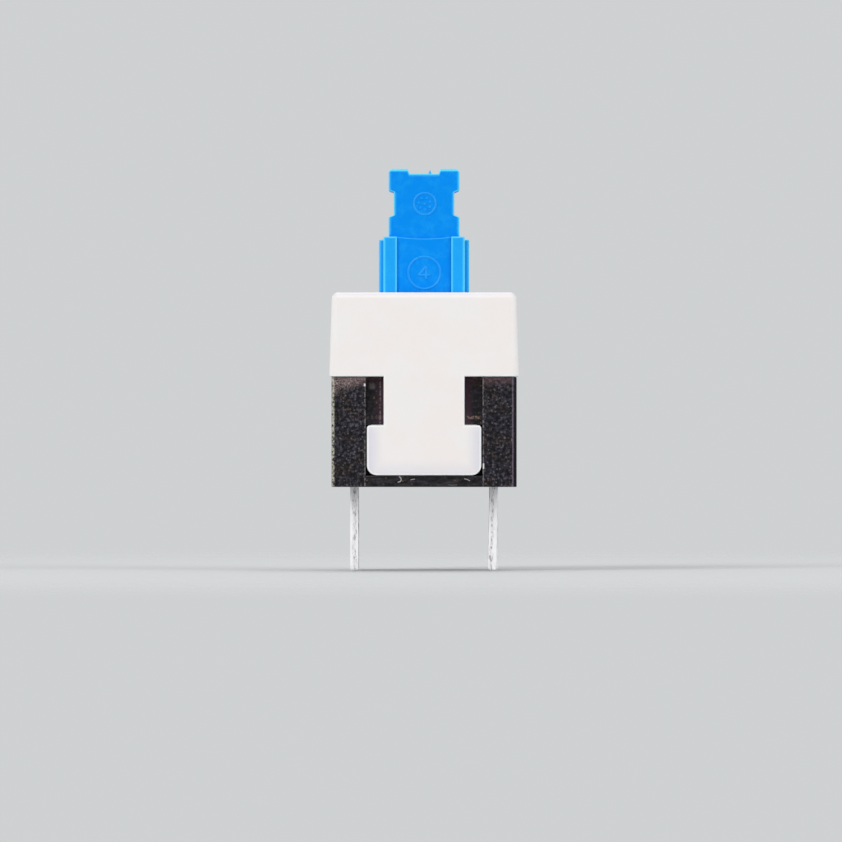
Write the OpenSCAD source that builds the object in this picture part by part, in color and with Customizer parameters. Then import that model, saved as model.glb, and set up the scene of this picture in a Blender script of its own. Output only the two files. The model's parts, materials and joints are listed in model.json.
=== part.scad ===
// Latching push-button switch with two changeover poles, in an 8 mm square housing.
// Millimetres. +Z is the way the plunger points, +X is to the right and -Y is the front.
// The origin is the middle of the seating plane, which is the underside of the base.

/* [Cap] */
// Width of the cap, across the two rows of pins
body_w = 8; // [7.6:0.1:10]
// Depth of the cap, along the rows of pins
body_d = 8; // [7.6:0.1:10]
// Height of the cap's top over the seating plane
body_h = 8.2; // [8:0.1:10]
// Thickness of the cap's top
cap_roof = 0.8; // [0.6:0.05:1]
// Thickness of the cap's walls and tongues
cap_wall = 0.7; // [0.5:0.05:0.75]
// How far each side of the cap leans in at the top
cap_draft = 0.1; // [0:0.01:0.15]
// Radius of the cap's outer edges
cap_edge = 0.28; // [0.1:0.01:0.35]
// How far the cap stands proud of each side of the base
cap_proud = 0.1; // [0.05:0.01:0.2]
// Thickness of the ribs inside the cap that guide the slider
rib_t = 0.5; // [0.3:0.05:0.6]
// Chamfer under the tongue's foot, which rides out over the hooks
tongue_lead = 0.25; // [0.1:0.05:0.4]

/* [Snap fit] */
// Width of the tongue's neck
neck_w = 3.41; // [3:0.01:3.8]
// Width of the tongue's foot
foot_w = 4.82; // [4.4:0.01:5]
// Height of the tongue's foot
foot_h = 2.11; // [1.8:0.01:2.3]
// Radius of the foot's lower corners
foot_corner = 0.42; // [0.2:0.01:0.6]
// Radius of the foot's shoulders
shoulder_corner = 0.13; // [0.05:0.01:0.2]
// Height of the base's sill under the foot
sill_h = 0.47; // [0.3:0.01:0.55]
// Height of the flat land under each hook's ramp
hook_land = 0.3; // [0.2:0.01:0.5]
// How far each hook's ramp falls back at its top
hook_ramp = 0.5; // [0.3:0.01:0.55]

/* [Base] */
// Thickness of the base's floor
floor_t = 0.6; // [0.5:0.05:0.8]
// Radius of the base's upright corners
base_corner = 0.15; // [0.05:0.01:0.3]
// Depth of the posts at the ends of the side walls
post_d = 0.75; // [0.65:0.05:0.9]
// Height of the side walls over the wipers at rest
wall_over_wiper = 0.43; // [0.4:0.01:0.6]
// Diameter of the post that centres the return spring
spring_post_d = 1.5; // [1.2:0.05:1.5]
// Height of that post
spring_post_h = 0.8; // [0.5:0.05:1]
// Width of the block that the lock pin turns in
pivot_w = 1; // [0.8:0.05:1.4]
// Height of that block
pivot_h = 0.62; // [0.6:0.01:0.8]
// Thickness of the block behind the end of the pin's hole
pivot_end_wall = 0.15; // [0.1:0.05:0.3]
// Width and depth of the step round each pin in the underside
pin_step = 0.12; // [0.08:0.01:0.2]

/* [Plunger] */
// Full travel of the plunger
travel = 2.2; // [1.8:0.05:2.5]
// Travel at which the plunger latches
latch_travel = 1.5; // [1.2:0.05:1.6]
// Room between the slider's sides and the terminals, for the contact springs
slider_room = 0.375; // [0.3:0.005:0.45]
// Depth of the slider
slider_d = 5; // [4.6:0.1:5.2]
// Thickness of the slider over the return spring's pocket
pocket_roof = 0.78; // [0.6:0.02:1]
// Depth of the recesses in the slider's sides, for the contact springs' bands
recess_depth = 0.2; // [0.16:0.01:0.25]
// Width of the key that a button cap fits over
key_w = 3; // [2.6:0.1:3.6]
// Depth of the key
key_d = 3; // [2.6:0.1:3.6]
// Height of the key's top over the cap
key_rise = 5.25; // [4.5:0.05:6]
// Chamfer at the upper corners of the key's front and back
key_chamfer = 0.13; // [0.05:0.01:0.2]
// Chamfer along the key's upper front and back edges
key_edge = 0.06; // [0.03:0.01:0.15]
// Depth of the snap notches in the key's sides
notch_depth = 0.22; // [0.1:0.01:0.3]
// Height of the snap notches
notch_h = 0.96; // [0.6:0.01:1.2]
// Distance from the key's top down to the notches
notch_drop = 0.99; // [0.6:0.01:1.2]
// Rise of the slanted ends of the notches
notch_lead = 0.09; // [0.05:0.01:0.15]
// Width of the groove across the key's top
groove_w = 1.42; // [1:0.01:1.6]
// Depth of that groove
groove_depth = 0.21; // [0.1:0.01:0.4]
// How far each end of that groove leans in
groove_slant = 0.1; // [0:0.01:0.25]
// Step from the key out to the block under it
block_step = 0.22; // [0.15:0.01:0.3]
// Height of the block's top over the cap
block_rise = 2.38; // [2.3:0.01:3]
// How far the side fins stand out from the block
fin_proud = 0.195; // [0.1:0.005:0.25]
// Depth of the side fins
fin_d = 1.2; // [0.8:0.1:1.6]
// Distance from the block's top down to the fins' tops
fin_drop = 0.12; // [0:0.01:0.3]
// Width of the sunk panels in the block's front and back
panel_w = 2.3; // [1.8:0.05:2.4]
// Depth of the sunk panels
panel_depth = 0.12; // [0.05:0.01:0.2]
// Dip in the middle of the ledge over each panel
ledge_dip = 0.08; // [0.02:0.01:0.15]

/* [Heart cam and lock pin] */
// Diameter of the lock pin's wire
pin_wire = 0.4; // [0.3:0.02:0.48]
// Radius of the lock pin's bends, to the middle of the wire
pin_bend = 0.3; // [0.26:0.01:0.4]
// Sideways swing of the lock pin's tip
cam_swing = 1; // [0.8:0.05:1.2]
// Depth of the lock pin's tip in the cam
cam_bite = 0.45; // [0.35:0.01:0.5]
// Drop in the cam's floor from each leg of its path to the next
cam_drop = 0.04; // [0.03:0.01:0.05]
// Distance from the slider's foot up to the cam's home
cam_foot = 0.5; // [0.4:0.05:0.7]

/* [Terminals] */
// Distance between the two rows of pins
row_spacing = 5.9; // [5.6:0.05:6]
// Distance between the pins of a row
pin_pitch = 2; // [1.9:0.05:2]
// Thickness of the terminals' sheet
sheet_t = 0.35; // [0.25:0.01:0.4]
// Width of the pins
pin_w = 0.5; // [0.4:0.05:0.6]
// Length of the pins under the seating plane
pin_len = 3.55; // [3:0.05:4]
// Chamfer round the pins' tips
pin_chamfer = 0.07; // [0.03:0.01:0.1]
// Width of the blades inside the base
blade_w = 1; // [0.8:0.05:1.2]
// Distance from the base's top down to the longer blades
blade_drop = 0.13; // [0.1:0.01:0.3]
// Length of blade that a wiper meets at the closed end of its travel
blade_overlap = 0.45; // [0.3:0.05:0.6]
// Height of the normally closed blade's face under the resting wiper
nc_face = 0.6; // [0.5:0.05:0.8]
// Thickness of the plastic over the normally closed blade where it steps back
skin_t = 0.05; // [0.03:0.01:0.08]
// How far the tip of the front right pin is bent inwards
front_right_lean = 0.09; // [0:0.01:0.15]

/* [Moving contacts] */
// Thickness of the contact springs' sheet
contact_t = 0.12; // [0.08:0.01:0.14]
// Width of the contact fingers
finger_w = 0.5; // [0.4:0.05:0.6]
// Distance from the slider's foot up to the wipers
wiper_rise = 0.7; // [0.6:0.05:0.8]
// Distance from the slider's foot up to the band that joins the fingers
band_rise = 2.1; // [1.9:0.05:2.2]
// Height of that band
band_h = 1; // [0.8:0.05:1]
// Half height of a wiper's crest
crest_h = 0.17; // [0.12:0.01:0.2]
// Diameter of the pegs that hold the contact springs
peg_d = 0.5; // [0.4:0.05:0.6]

/* [Return spring] */
// Diameter of the spring's wire
spring_wire = 0.28; // [0.2:0.01:0.3]
// Outer diameter of the spring
spring_od = 2.4; // [2.2:0.05:2.9]
// Number of turns, with the closed ones
spring_turns = 9; // [7:1:10]

/* [Clearances] */
// Gap where two fixed parts seat on each other
seat_gap = 0.02; // [0.01:0.01:0.04]
// Gap between the tongue's sides and the base
snap_gap = 0.05; // [0.03:0.01:0.1]
// Gap round a terminal or contact spring in its plastic
insert_gap = 0.01; // [0.005:0.005:0.02]
// Gap between the slider and its guides
slide_gap = 0.06; // [0.04:0.01:0.1]
// Gap round the lock pin in its hole and in the cam
cam_gap = 0.04; // [0.03:0.01:0.06]
// Gap between a wiper and the terminal that it rubs
wiper_gap = 0.02; // [0.02:0.01:0.05]
// Gap under the slider at full travel
bottom_gap = 0.08; // [0.05:0.01:0.2]
// Gap under the lock pin's lower leg, and past its end
leg_gap = 0.05; // [0.03:0.01:0.08]
// Gap between the lock pin and the tongue in front of it
tongue_gap = 0.07; // [0.05:0.01:0.1]
// Gap between the lock pin and the block that it turns in
block_gap = 0.08; // [0.05:0.01:0.1]
// Gap between the return spring and that block
spring_gap = 0.55; // [0.4:0.05:0.6]
// Gap round the return spring in the slider's pocket
pocket_gap = 0.2; // [0.1:0.05:0.25]
// Least gap between the cam's floor and the pin's tip
floor_gap = 0.05; // [0.03:0.01:0.06]

/* [Hidden] */

$fn = 48;
HULL_FN = 32;
// Overlap where solids of one part are joined, and overshoot of a cut past a face
LAP = 0.1;
// Small step that keeps two of the cam's cuts from sharing a face
EASE = 0.01;

// Plan of the housing, in half widths from the middle
base_x = body_w / 2 - cap_proud;
base_y = body_d / 2 - cap_proud;
post_x = foot_w / 2 + snap_gap;
hook_x = neck_w / 2 + seat_gap;
tongue_y = body_d / 2 - cap_wall;
row_x = row_spacing / 2;
rub_x = row_x - sheet_t / 2;

// Heights, from the seating plane up
foot_z = sill_h + seat_gap;
foot_top = foot_z + foot_h;
hook_z = foot_top + seat_gap;
pivot_z = floor_t + pin_wire / 2 + leg_gap;
slider_z = floor_t + pivot_h + bottom_gap + travel;
slider_top = body_h - cap_roof - seat_gap;
wiper_z = slider_z + wiper_rise;
base_h = wiper_z + wall_over_wiper;
skirt_z = base_h + seat_gap;
cam_z = slider_z + cam_foot;
block_top = body_h + block_rise;
key_top = body_h + key_rise;

// Plunger, in half widths from the middle
slider_x = rub_x - slider_room;
slider_y = slider_d / 2;
block_x = key_w / 2 + block_step;
block_y = key_d / 2 + block_step;
fin_x = block_x + fin_proud;

// Lock pin: a staple of wire that turns on its lower leg
pin_r = pin_wire / 2;
pin_y = -(tongue_y - tongue_gap - pin_r);
pin_arm = cam_z - pivot_z;
pivot_front = pin_y + pin_r + block_gap;
pivot_back = -spring_od / 2 - spring_gap;
pivot_hole_end = pivot_back - pivot_end_wall;

// Heart cam: where the pin's tip stands on the slider, as [x, z] from the cam's home
cam_r = pin_r + cam_gap;
swing_angle = asin(cam_swing / pin_arm);
over_z = travel - pin_arm * (1 - cos(swing_angle));
HOME = [0, 0];
OVER_IN = [-cam_swing, over_z];
LATCHED = [0, latch_travel];
OVER_OUT = [cam_swing, over_z];
// Depths of the cam's floor, from the top of its ramps to its deepest corners
FLOORS = [for (i = [0 : 3]) cam_bite + floor_gap + i * cam_drop];

// Return spring
coil_r = (spring_od - spring_wire) / 2;
pocket_top = slider_top - pocket_roof;
coil_z = floor_t + spring_wire / 2 + seat_gap / 2;
coil_span = pocket_top - floor_t - spring_wire - seat_gap;

// Contact springs, for the right side
recess_x = slider_x - recess_depth;
band_z = slider_z + band_rise;
band_top = band_z + band_h;
peg_z = band_z + band_h / 2;
band_y = pin_pitch + finger_w / 2 + contact_t / 2;
peg_y = pin_pitch / 2;

// Draws a shape of the XZ plane and extends it along Y
module along_y(from, to)
    translate([0, to, 0]) rotate([90, 0, 0]) linear_extrude(to - from) children();

// Draws a shape of the YZ plane and extends it along X
module along_x(from, to)
    translate([from, 0, 0]) rotate([90, 0, 90]) linear_extrude(to - from) children();

module box(x0, x1, y0, y1, z0, z1)
    translate([x0, y0, z0]) cube([x1 - x0, y1 - y0, z1 - z0]);

module left_and_right() {
    children();
    mirror([1, 0, 0]) children();
}

module front_and_back() {
    children();
    mirror([0, 1, 0]) children();
}

// A rectangle with round corners, of one radius at the bottom and another at the top
module round_cornered(half_w, z0, z1, low_r, high_r) {
    polygon([
        [-half_w, z0 + low_r], [-half_w + low_r, z0], [half_w - low_r, z0], [half_w, z0 + low_r],
        [half_w, z1 - high_r], [half_w - high_r, z1], [-half_w + high_r, z1], [-half_w, z1 - high_r]
    ]);
    for (side = [-1, 1]) {
        translate([side * (half_w - low_r), z0 + low_r]) circle(low_r);
        translate([side * (half_w - high_r), z1 - high_r]) circle(high_r);
    }
}

// Points of a bent strip's two faces: its middle line, moved sideways at each corner
function turn(a, b) = let (d = b - a) [d[1], -d[0]] / norm(d);
function mitre(a, b) = (a + b) / (1 + a * b);
function strip_side(line, off) = [
    for (i = [0 : len(line) - 1]) let (
        before = turn(line[max(i - 1, 0)], line[max(i, 1)]),
        after = turn(line[min(i, len(line) - 2)], line[min(i + 1, len(line) - 1)])
    ) line[i] + off * mitre(before, after)
];
function reversed(list) = [for (i = [len(list) - 1 : -1 : 0]) list[i]];

module strip(line, thickness)
    polygon(concat(strip_side(line, thickness / 2), reversed(strip_side(line, -thickness / 2))));

// ---- Cap ----

module cap_outside() {
    hull() {
        for (x = [-1, 1], y = [-1, 1]) {
            translate([x * (body_w / 2 - cap_edge), y * (body_d / 2 - cap_edge), skirt_z])
                cylinder(r = cap_edge, h = LAP, $fn = HULL_FN);
            translate([
                x * (body_w / 2 - cap_draft - cap_edge),
                y * (body_d / 2 - cap_draft - cap_edge),
                body_h - cap_edge
            ]) sphere(cap_edge, $fn = HULL_FN);
        }
    }
}

module tongue() {
    top = skirt_z + LAP;
    intersection() {
        along_y(-body_d / 2, -tongue_y) {
            round_cornered(foot_w / 2, foot_z, foot_top, foot_corner, shoulder_corner);
            translate([-neck_w / 2, foot_top - LAP]) square([neck_w, top + LAP - foot_top]);
        }
        along_x(-foot_w / 2, foot_w / 2) polygon([
            [-body_d / 2, foot_z], [-tongue_y - tongue_lead, foot_z],
            [-tongue_y, foot_z + tongue_lead], [-tongue_y, top], [-body_d / 2, top]
        ]);
    }
}

module guide_ribs() {
    for (y = [-peg_y, peg_y]) {
        left_and_right() box(slider_x + slide_gap, body_w / 2 - cap_wall + LAP,
            y - rib_t / 2, y + rib_t / 2, skirt_z + LAP, slider_top + LAP);
    }
    front_and_back() left_and_right() box(slider_x - 2 * rib_t, slider_x - rib_t,
        slider_y + slide_gap, tongue_y + LAP, skirt_z + LAP, slider_top + LAP);
}

module plunger_hole() {
    gap = slide_gap;
    box(-block_x - gap, block_x + gap, -block_y - gap, block_y + gap, slider_top, body_h + LAP);
    box(-fin_x - gap, fin_x + gap, -fin_d / 2 - gap, fin_d / 2 + gap, slider_top, body_h + LAP);
}

module cap() {
    roof_z = body_h - cap_roof;
    color("ghostwhite") {
        difference() {
            union() {
                difference() {
                    cap_outside();
                    box(-body_w / 2 + cap_wall, body_w / 2 - cap_wall, -tongue_y, tongue_y,
                        skirt_z - LAP, roof_z);
                }
                guide_ribs();
                front_and_back() tongue();
            }
            plunger_hole();
        }
    }
}

// ---- Base ----

module base_plan()
    round_cornered(base_x, -base_y, base_y, base_corner, base_corner);

// One hook: the tongue's foot rides out over its ramp and snaps in under its land
module hook() {
    inner = base_y - post_d;
    along_x(hook_x, post_x + LAP) polygon([
        [-inner, hook_z], [-base_y, hook_z], [-base_y, hook_z + hook_land],
        [-base_y + hook_ramp, base_h], [-inner, base_h]
    ]);
}

module pivot_block() {
    difference() {
        box(-pivot_w / 2, pivot_w / 2, pivot_front, pivot_back, floor_t - LAP, floor_t + pivot_h);
        translate([0, pivot_hole_end, pivot_z]) rotate([90, 0, 0])
            cylinder(r = pin_r + cam_gap, h = pivot_hole_end - pivot_front + LAP);
    }
}

module base_body() {
    well_y = tongue_y - seat_gap;
    post_y = base_y - post_d;
    intersection() {
        linear_extrude(base_h) base_plan();
        union() {
            box(-base_x, base_x, -base_y, base_y, 0, sill_h);
            box(-base_x, base_x, -well_y, well_y, 0, floor_t);
            left_and_right() {
                box(rub_x, base_x, -post_y - LAP, post_y + LAP, 0, base_h);
                front_and_back() {
                    box(post_x, base_x, -base_y, -post_y, 0, base_h);
                    hook();
                }
            }
        }
    }
    translate([0, 0, floor_t - LAP]) cylinder(d = spring_post_d, h = spring_post_h + LAP);
    pivot_block();
}

// A shallow step in the underside, where a pin comes out
module pin_well(y) {
    half_x = sheet_t / 2 + pin_step;
    half_y = pin_w / 2 + pin_step;
    box(row_x - half_x, row_x + half_x, y - half_y, y + half_y, -LAP, pin_step);
}

module base() {
    color("#1b1a1d") {
        difference() {
            base_body();
            left_and_right() {
                terminal_nc(insert_gap);
                terminal_com(insert_gap);
                terminal_no(insert_gap);
                for (y = [-pin_pitch, 0, pin_pitch]) pin_well(y);
            }
        }
    }
}

// ---- Terminals, drawn on the right side ----

// A blade that follows a line in the XZ plane, with a narrower pin under it.
// grow makes the terminal's own slot, wider by that much all round.
module terminal(y, line, grow, lean = 0) {
    shoulder_z = floor_t / 2;
    tip = -pin_len - grow;
    tip_half = pin_w / 2 + grow;
    translate([0, y, 0]) {
        along_y(-blade_w / 2 - grow, blade_w / 2 + grow)
            strip(concat([[row_x, shoulder_z - grow]], line), sheet_t + 2 * grow);
        intersection() {
            along_y(-tip_half, tip_half) difference() {
                strip([[row_x - lean, tip], [row_x, 0], [row_x, shoulder_z + LAP]],
                    sheet_t + 2 * grow);
                for (side = [-1, 1]) translate([row_x - lean + side * sheet_t / 2, tip])
                    rotate(45) square(sqrt(2) * pin_chamfer, center = true);
            }
            along_x(0, base_x) polygon([
                [-tip_half, shoulder_z + 2 * LAP], [-tip_half, tip + pin_chamfer],
                [-tip_half + pin_chamfer, tip], [tip_half - pin_chamfer, tip],
                [tip_half, tip + pin_chamfer], [tip_half, shoulder_z + 2 * LAP]
            ]);
        }
    }
}

// Common: its blade faces the wiper over the whole stroke
module terminal_com(grow = 0)
    terminal(0, [[row_x, base_h - blade_drop + grow]], grow);

// Normally open: the wiper reaches its blade late in the stroke
module terminal_no(grow = 0)
    terminal(pin_pitch, [[row_x, wiper_z - latch_travel + blade_overlap + grow]], grow);

// Normally closed: it steps back into the wall where the pressed wiper rides on plastic
module terminal_nc(grow = 0, lean = 0) {
    back = sheet_t + skin_t;
    jog_z = floor_t / 2 + sheet_t / 2;
    face_z = wiper_z - nc_face;
    terminal(-pin_pitch, [
        [row_x, jog_z], [row_x + back, jog_z + back],
        [row_x + back, face_z - back], [row_x, face_z], [row_x, base_h - blade_drop + grow]
    ], grow, lean);
}

module silver() color("silver") children();

module terminal_left_nc() silver() mirror([1, 0, 0]) terminal_nc();
module terminal_left_com() silver() mirror([1, 0, 0]) terminal_com();
module terminal_left_no() silver() mirror([1, 0, 0]) terminal_no();
module terminal_right_nc() silver() terminal_nc(0, front_right_lean);
module terminal_right_com() silver() terminal_com();
module terminal_right_no() silver() terminal_no();

// ---- Plunger ----

// The key's outline from the front, with its snap notches and the groove across its top
module key_outline() {
    half = key_w / 2;
    notch_top = key_top - notch_drop;
    notch_foot = notch_top - notch_h;
    groove_foot = groove_w / 2 - groove_slant;
    right = [
        [half, block_top - LAP], [half, notch_foot - notch_lead],
        [half - notch_depth, notch_foot], [half - notch_depth, notch_top],
        [half, notch_top + notch_lead], [half, key_top - key_chamfer],
        [half - key_chamfer, key_top], [groove_w / 2, key_top],
        [groove_foot, key_top - groove_depth]
    ];
    polygon(concat(right, [for (p = reversed(right)) [-p[0], p[1]]]));
}

module key() {
    half = key_d / 2;
    intersection() {
        along_y(-half, half) key_outline();
        along_x(-key_w, key_w) polygon([
            [-half, slider_top], [-half, key_top - key_edge], [-half + key_edge, key_top],
            [half - key_edge, key_top], [half, key_top - key_edge], [half, slider_top]
        ]);
    }
}

// The sunk panel in the block's front, and the dip in the ledge above it
module panel() {
    box(-panel_w / 2, panel_w / 2, -block_y - LAP, -block_y + panel_depth,
        slider_top + LAP, block_top + LAP);
    dip_r = (pow(panel_w / 2, 2) + pow(ledge_dip, 2)) / (2 * ledge_dip);
    intersection() {
        along_y(-block_y - LAP, -key_d / 2)
            translate([0, block_top + dip_r - ledge_dip]) circle(dip_r, $fn = 180);
        box(-panel_w / 2, panel_w / 2, -block_y - LAP, 0, slider_top, block_top + LAP);
    }
}

// Plan of a straight leg of the cam's path, and of the pocket at one of its corners
module cam_leg(from, to) {
    step = to - from;
    translate(from) rotate(atan2(step[1], step[0]))
        translate([0, -cam_r]) square([norm(step), 2 * cam_r]);
}

module cam_corner(at)
    translate(at) circle(cam_r + EASE);

// Cuts a plan into the slider's front, to one depth
module cam_cut(depth)
    along_y(-slider_y - LAP, -slider_y + depth) translate([0, cam_z]) children();

// A leg with a floor that climbs from one depth to another
module cam_ramp(from, to, from_depth, to_depth) {
    step = to - from;
    length = norm(step);
    slope = (to_depth - from_depth) / length;
    intersection() {
        cam_cut(2 * from_depth) cam_leg(from, to);
        translate([from[0], -slider_y, cam_z + from[1]])
            rotate([0, -atan2(step[1], step[0]), 0]) translate([0, 0, -cam_swing])
                linear_extrude(2 * cam_swing) polygon([
                    [-1, -1], [length + 1, -1],
                    [length + 1, to_depth + slope], [-1, from_depth - slope]
                ]);
    }
}

// The pin climbs each ramp, then drops at every corner, so it can't turn back
module heart_cam() {
    cam_cut(FLOORS[3]) {
        cam_corner(HOME);
        cam_corner(OVER_OUT);
    }
    cam_ramp(HOME, OVER_IN, FLOORS[3] - EASE, FLOORS[0]);
    cam_cut(FLOORS[1]) {
        cam_corner(OVER_IN);
        cam_leg(OVER_IN, LATCHED);
    }
    cam_cut(FLOORS[2]) {
        cam_corner(LATCHED);
        cam_leg(LATCHED, OVER_OUT);
    }
    cam_ramp(OVER_OUT, HOME, FLOORS[3] - EASE, FLOORS[0]);
}

module slider() {
    difference() {
        box(-slider_x, slider_x, -slider_y, slider_y, slider_z, slider_top);
        translate([0, 0, slider_z - LAP])
            cylinder(d = spring_od + 2 * pocket_gap, h = pocket_top - slider_z + LAP);
        heart_cam();
        left_and_right() box(recess_x, slider_x + LAP, -band_y - seat_gap, band_y + seat_gap,
            slider_z - LAP, band_top + seat_gap);
    }
    left_and_right() for (y = [-peg_y, peg_y])
        translate([recess_x - LAP, y, peg_z]) rotate([0, 90, 0])
            cylinder(d = peg_d, h = slider_x - recess_x + LAP - seat_gap);
}

module plunger() {
    color("#0091fa") {
        slider();
        difference() {
            union() {
                box(-block_x, block_x, -block_y, block_y, slider_top - LAP, block_top);
                box(-fin_x, fin_x, -fin_d / 2, fin_d / 2, slider_top - LAP, block_top - fin_drop);
            }
            front_and_back() panel();
        }
        key();
    }
}

// ---- Contact springs, drawn on the right side ----

module contact_spring() {
    band_x = recess_x + insert_gap + contact_t / 2;
    crest_x = rub_x - wiper_gap - contact_t / 2;
    shoulder_x = crest_x - 0.3 * crest_h;
    tail = 1.2 * crest_h;
    finger = [
        [band_x, band_z + LAP], [band_x, band_z - LAP],
        [shoulder_x, wiper_z + crest_h], [crest_x, wiper_z],
        [shoulder_x, wiper_z - crest_h], [shoulder_x - tail, wiper_z - crest_h - tail]
    ];
    difference() {
        box(band_x - contact_t / 2, band_x + contact_t / 2, -band_y, band_y, band_z, band_top);
        for (y = [-peg_y, peg_y]) translate([band_x - contact_t, y, peg_z]) rotate([0, 90, 0])
            cylinder(d = peg_d + 2 * insert_gap, h = 2 * contact_t);
    }
    for (y = [-pin_pitch, 0, pin_pitch])
        along_y(y - finger_w / 2, y + finger_w / 2) strip(finger, contact_t);
}

module contact_left() color("goldenrod") mirror([1, 0, 0]) contact_spring();
module contact_right() color("goldenrod") contact_spring();

// ---- Lock pin ----

// A quarter turn of wire in the YZ plane, round the middle of the bend
module pin_corner(z, start)
    translate([0, pin_y + pin_bend, z]) rotate([90, 0, 90])
        rotate_extrude(angle = 90, start = start) translate([pin_bend, 0]) circle(pin_r);

module pin_leg(z, tip_y)
    translate([0, tip_y, z]) rotate([90, 0, 0])
        cylinder(r = pin_r, h = tip_y - pin_y - pin_bend);

module lock_pin() {
    color("lightsteelblue") {
        translate([0, pin_y, pivot_z + pin_bend])
            cylinder(r = pin_r, h = cam_z - pivot_z - 2 * pin_bend);
        pin_corner(pivot_z + pin_bend, 180);
        pin_leg(pivot_z, pivot_hole_end - leg_gap);
        pin_corner(cam_z - pin_bend, 90);
        pin_leg(cam_z, -slider_y + cam_bite);
    }
}

// ---- Return spring ----

RINGS_PER_TURN = 16;
WIRE_SIDES = 8;
closed_pitch = spring_wire + 0.02;
open_pitch = (coil_span - 2 * closed_pitch) / (spring_turns - 2);

// Rise of the wire after some turns: one closed turn at each end and open turns between
function coil_rise(turns) =
    turns < 1 ? turns * closed_pitch
    : turns > spring_turns - 1 ? coil_span - (spring_turns - turns) * closed_pitch
    : closed_pitch + (turns - 1) * open_pitch;

function wire_ring(turns) = [
    for (i = [0 : WIRE_SIDES - 1]) let (
        side = 360 * i / WIRE_SIDES,
        r = coil_r + spring_wire / 2 * cos(side),
        z = coil_z + coil_rise(turns) + spring_wire / 2 * sin(side)
    ) [r * cos(360 * turns), r * sin(360 * turns), z]
];

module return_spring() {
    rings = spring_turns * RINGS_PER_TURN;
    n = WIRE_SIDES;
    points = [for (i = [0 : rings]) each wire_ring(i / RINGS_PER_TURN)];
    sides = [
        for (i = [0 : rings - 1], k = [0 : n - 1]) let (
            a = i * n + k, b = i * n + (k + 1) % n, c = a + n, d = b + n
        ) each [[a, b, c], [b, d, c]]
    ];
    ends = [[for (k = [n - 1 : -1 : 0]) k], [for (k = [0 : n - 1]) rings * n + k]];
    color("gainsboro") polyhedron(concat(points), concat(sides, ends));
}

base();
cap();
plunger();
return_spring();
lock_pin();
contact_left();
contact_right();
terminal_left_nc();
terminal_left_com();
terminal_left_no();
terminal_right_nc();
terminal_right_com();
terminal_right_no();
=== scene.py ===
"""Looks of a latching push-button switch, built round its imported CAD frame.

Each piece starts from the CAD solid of the same part. Its edges are rounded as the mould or the
press leaves them, it gets its mould marks and burrs, and it takes a procedural finish.
Metres, +Z is the way the plunger points, -Y is the front and the origin is on the seating plane.
"""

import json
import math

import bmesh
import bpy
from bpy.props import (
    FloatProperty,
    FloatVectorProperty,
    IntProperty,
    PointerProperty,
)
from mathutils import Matrix, Vector, noise
from mathutils.geometry import intersect_point_line

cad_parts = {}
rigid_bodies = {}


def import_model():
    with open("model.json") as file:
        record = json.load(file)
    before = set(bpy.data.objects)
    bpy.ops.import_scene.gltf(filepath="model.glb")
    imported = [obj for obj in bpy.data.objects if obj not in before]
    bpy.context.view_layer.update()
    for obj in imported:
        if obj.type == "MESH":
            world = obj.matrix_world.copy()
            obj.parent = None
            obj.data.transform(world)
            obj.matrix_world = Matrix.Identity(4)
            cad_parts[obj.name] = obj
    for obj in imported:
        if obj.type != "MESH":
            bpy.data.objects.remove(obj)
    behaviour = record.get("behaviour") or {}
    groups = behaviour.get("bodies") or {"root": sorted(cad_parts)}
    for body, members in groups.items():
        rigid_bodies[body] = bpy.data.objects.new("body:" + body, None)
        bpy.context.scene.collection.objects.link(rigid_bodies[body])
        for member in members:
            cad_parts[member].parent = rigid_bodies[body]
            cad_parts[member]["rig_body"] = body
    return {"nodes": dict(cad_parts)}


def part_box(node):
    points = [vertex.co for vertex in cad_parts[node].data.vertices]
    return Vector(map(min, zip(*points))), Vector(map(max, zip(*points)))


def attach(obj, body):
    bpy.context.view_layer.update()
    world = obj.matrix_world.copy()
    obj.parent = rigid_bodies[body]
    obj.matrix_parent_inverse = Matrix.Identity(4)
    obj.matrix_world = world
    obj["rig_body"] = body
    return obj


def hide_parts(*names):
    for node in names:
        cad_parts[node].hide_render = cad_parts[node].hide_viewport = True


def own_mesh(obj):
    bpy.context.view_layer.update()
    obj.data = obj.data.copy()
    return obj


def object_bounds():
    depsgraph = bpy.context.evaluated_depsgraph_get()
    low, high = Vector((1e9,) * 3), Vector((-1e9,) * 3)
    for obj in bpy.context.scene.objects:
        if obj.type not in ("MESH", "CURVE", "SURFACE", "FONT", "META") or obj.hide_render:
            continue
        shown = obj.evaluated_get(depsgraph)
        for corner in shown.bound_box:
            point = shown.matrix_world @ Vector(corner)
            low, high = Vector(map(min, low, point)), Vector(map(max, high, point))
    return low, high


bl_info = {
    "name": "Latching push-button switch",
    "version": (1, 0, 0),
    "blender": (4, 5, 0),
    "location": "3D View > Sidebar > Switch",
    "description": "Builds the pieces and finishes of a small latching push-button switch",
    "category": "Object",
}

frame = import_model()
CAD_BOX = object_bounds()

MM = 0.001
WELD = 0.0002 * MM  # corners nearer than this are one corner
STEP = 0.005 * MM  # steps in a bent terminal smaller than this are closed
TOUCH = 0.02 * MM  # points nearer to a face than this lie on it
FLAT = math.radians(0.3)  # faces that turn by less than this are one flat face
CREASE = math.radians(28)  # edges that turn by more than this stay sharp

UP = Vector((0, 0, 1))
BACK = Vector((0, 1, 0))

TERMINALS = [
    f"terminal_{side}_{pole}" for side in ("left", "right") for pole in ("nc", "com", "no")
]


# ---- Settings ----


def length(name, description, millimetres):
    return FloatProperty(
        name=name, description=description, default=millimetres * MM,
        min=0, precision=6, unit="LENGTH",
    )


def factor(name, description, default):
    return FloatProperty(
        name=name, description=description, default=default, min=0, max=1, subtype="FACTOR"
    )


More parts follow.
